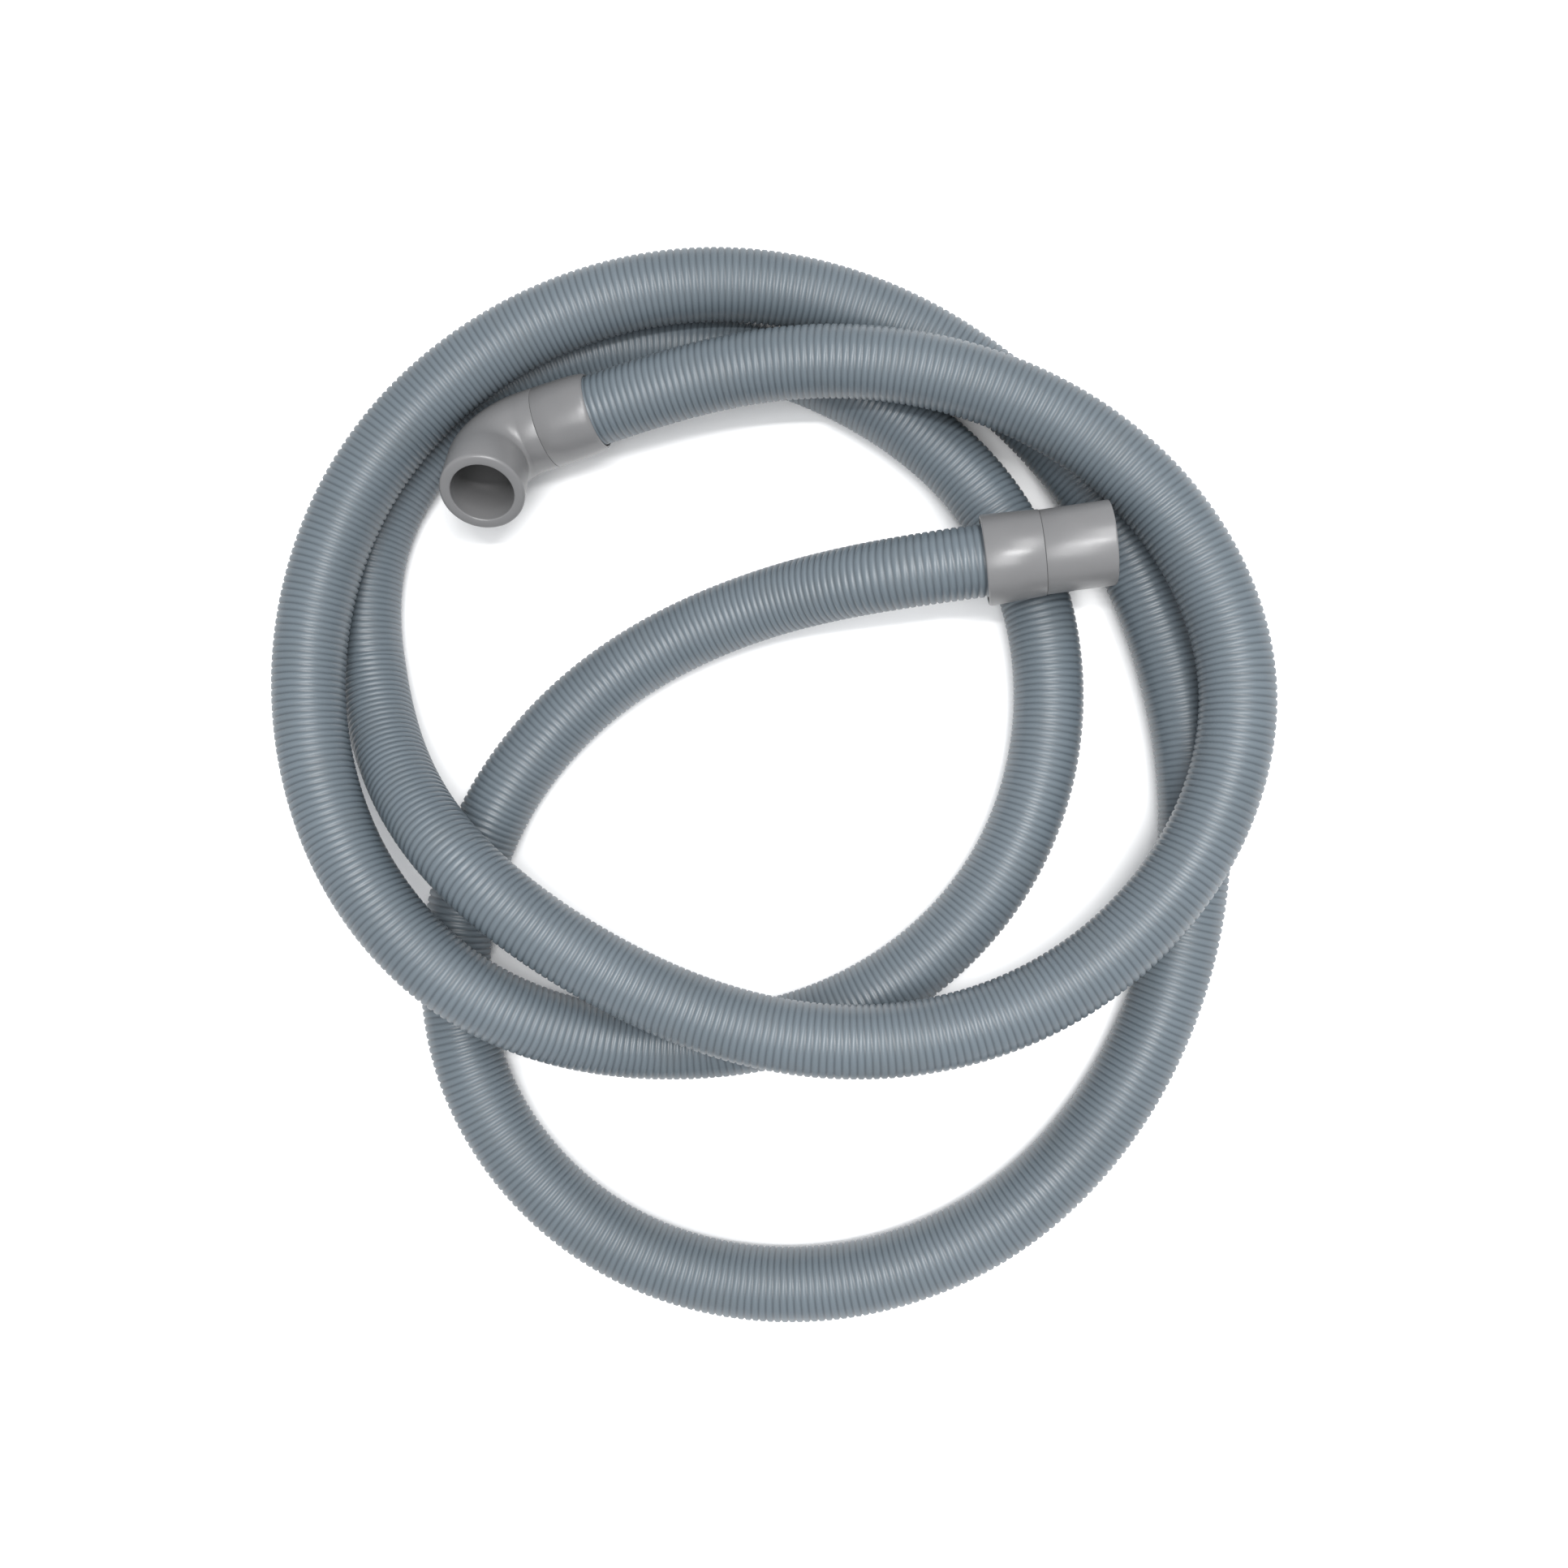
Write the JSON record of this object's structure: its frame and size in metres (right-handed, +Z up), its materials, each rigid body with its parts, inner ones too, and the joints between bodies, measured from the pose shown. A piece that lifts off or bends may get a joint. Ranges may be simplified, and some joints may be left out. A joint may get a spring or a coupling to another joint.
{
  "type": "waste hose kit",
  "caption": "Coiled flexible caravan waste hose with a swivelling right-angle end fitting and a straight push-on coupler.",
  "frame": {"origin": "on the floor, under the middle of the coiled hose's plan outline", "axes": "+Z up from the floor, +Y towards the coil's end that carries the elbow, +X towards the straight coupler's side"},
  "size_m": [0.3883, 0.4275, 0.0652],
  "materials": {
    "hose_plastic": "blue-grey blow-moulded polyethylene, finely corrugated, soft satin sheen",
    "fitting_plastic": "warm grey injection-moulded plastic, satin, with fine moulding marks",
    "seal_rubber": "black moulded rubber",
    "ring_steel": "bright stainless spring wire"
  },
  "bodies": {
    "hose_assembly": {"hose": "hose_plastic", "elbow_collar": "fitting_plastic", "elbow_hose_seal": "seal_rubber", "coupler_collar": "fitting_plastic", "coupler_hose_seal": "seal_rubber"},
    "elbow": {"elbow_body": "fitting_plastic", "elbow_o_ring": "seal_rubber", "elbow_retaining_ring": "ring_steel"},
    "coupler_end": {"coupler_socket": "fitting_plastic", "coupler_o_ring": "seal_rubber", "coupler_retaining_ring": "ring_steel"}
  },
  "joints": [
    {"name": "elbow_swivel", "type": "hinge", "parent": "hose_assembly", "child": "elbow", "pos_m": [-0.06758, 0.15198, 0.03258], "axis": [0.962, 0.2345, 0.1401], "range_deg": [-4, 50]},
    {"name": "coupler_swivel", "type": "hinge", "parent": "hose_assembly", "child": "coupler_end", "pos_m": [0.08742, 0.08366, 0.04521], "axis": [0.9908, 0.1052, 0.0856], "continuous": true}
  ]
}
